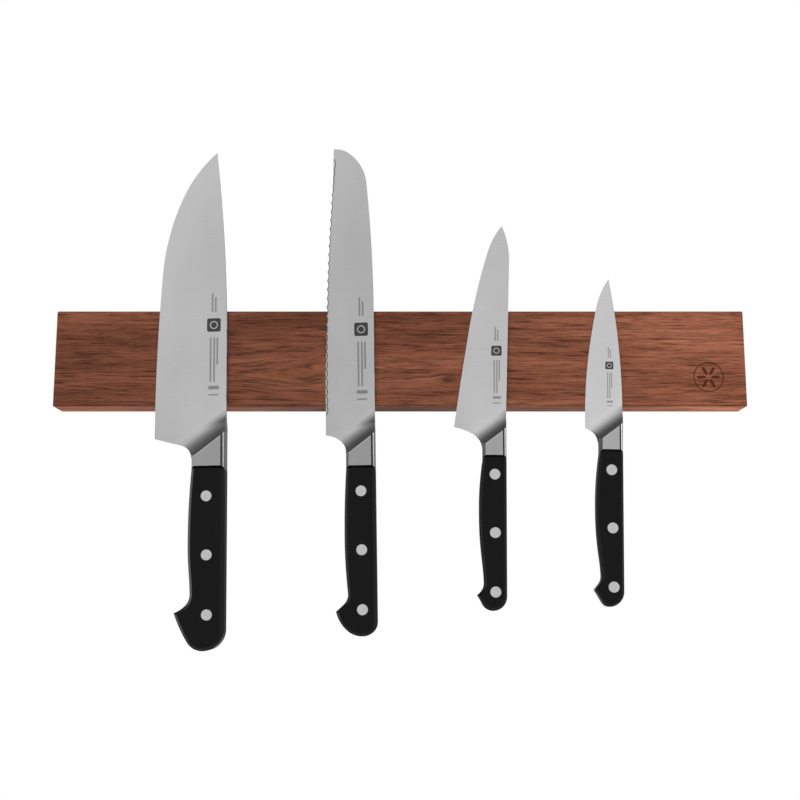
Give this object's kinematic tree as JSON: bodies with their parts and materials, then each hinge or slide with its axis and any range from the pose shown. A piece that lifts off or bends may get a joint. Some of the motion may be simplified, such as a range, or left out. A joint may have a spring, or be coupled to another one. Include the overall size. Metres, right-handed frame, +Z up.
{
  "type": "knife magnetic rack",
  "caption": "Walnut magnetic wall bar with keyhole hangers, holding forged kitchen knives with full tangs and riveted black handles.",
  "frame": {"origin": "middle of the bar's back face, on the wall plane", "axes": "+X to the right seen from the front, +Y into the wall, +Z up; the bar's front faces -Y"},
  "size_m": [0.468, 0.0312, 0.3432],
  "materials": {
    "walnut": "oiled walnut, fine straight grain along the bar",
    "back_panel": "sanded, unfinished panel",
    "magnet": "nickel plated",
    "keeper_steel": "mill finish",
    "screw_steel": "zinc plated",
    "hanger_steel": "zinc plated",
    "blade_steel": "fine satin, ground across the blade",
    "handle_black": "satin black, flat faces with crisp bevels",
    "rivet_steel": "flush, lightly blasted"
  },
  "bodies": {
    "bar": {"bar_body": "walnut", "magnets_upper": "magnet", "magnets_lower": "magnet", "keeper_upper": "keeper_steel", "keeper_lower": "keeper_steel", "keeper_screws": "screw_steel", "back_cover": "back_panel", "cover_screws": "screw_steel", "keyhole_plate_left": "hanger_steel", "keyhole_plate_right": "hanger_steel", "hanger_screws": "screw_steel"},
    "chef_knife": {"chef_blade": "blade_steel", "chef_front_scale": "handle_black", "chef_back_scale": "handle_black", "chef_rivet_pins": "rivet_steel", "chef_rivet_sleeves": "rivet_steel"},
    "bread_knife": {"bread_blade": "blade_steel", "bread_front_scale": "handle_black", "bread_back_scale": "handle_black", "bread_rivet_pins": "rivet_steel", "bread_rivet_sleeves": "rivet_steel"},
    "utility_knife": {"utility_blade": "blade_steel", "utility_front_scale": "handle_black", "utility_back_scale": "handle_black", "utility_rivet_pins": "rivet_steel", "utility_rivet_sleeves": "rivet_steel"},
    "paring_knife": {"paring_blade": "blade_steel", "paring_front_scale": "handle_black", "paring_back_scale": "handle_black", "paring_rivet_pins": "rivet_steel", "paring_rivet_sleeves": "rivet_steel"}
  },
  "joints": [
    {"name": "chef_lift_off", "type": "slide", "parent": "bar", "child": "chef_knife", "axis": [0, -1, 0], "range_m": [0, 0.1]},
    {"name": "bread_lift_off", "type": "slide", "parent": "bar", "child": "bread_knife", "axis": [0, -1, 0], "range_m": [0, 0.1]},
    {"name": "utility_lift_off", "type": "slide", "parent": "bar", "child": "utility_knife", "axis": [0, -1, 0], "range_m": [0, 0.1]},
    {"name": "paring_lift_off", "type": "slide", "parent": "bar", "child": "paring_knife", "axis": [0, -1, 0], "range_m": [0, 0.1]}
  ]
}
